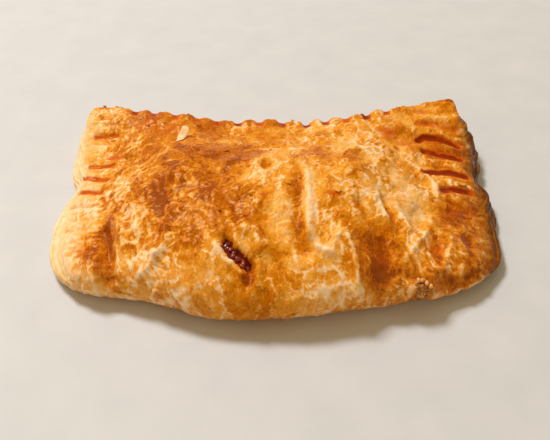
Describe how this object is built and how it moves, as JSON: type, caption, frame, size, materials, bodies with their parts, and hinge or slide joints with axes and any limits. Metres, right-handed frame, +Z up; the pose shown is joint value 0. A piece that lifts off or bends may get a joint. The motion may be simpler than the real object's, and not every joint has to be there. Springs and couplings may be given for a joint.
{
  "type": "ham and cheese pie",
  "caption": "Baked puff pastry pie with a rolled front fold, pressed fork marks on the other edges, raised back corners and a small tear that shows the filling.",
  "frame": {"origin": "middle of the flat base, on the surface that the pie lies on", "axes": "+X along the long side to the right, +Y to the pressed back edge, +Z up"},
  "size_m": [0.1576, 0.1054, 0.0276],
  "materials": {
    "pastry": "egg-washed baked puff pastry, satin to glossy, blotched amber and cream"
  },
  "bodies": {
    "root": {"pie": "pastry"}
  },
  "joints": []
}
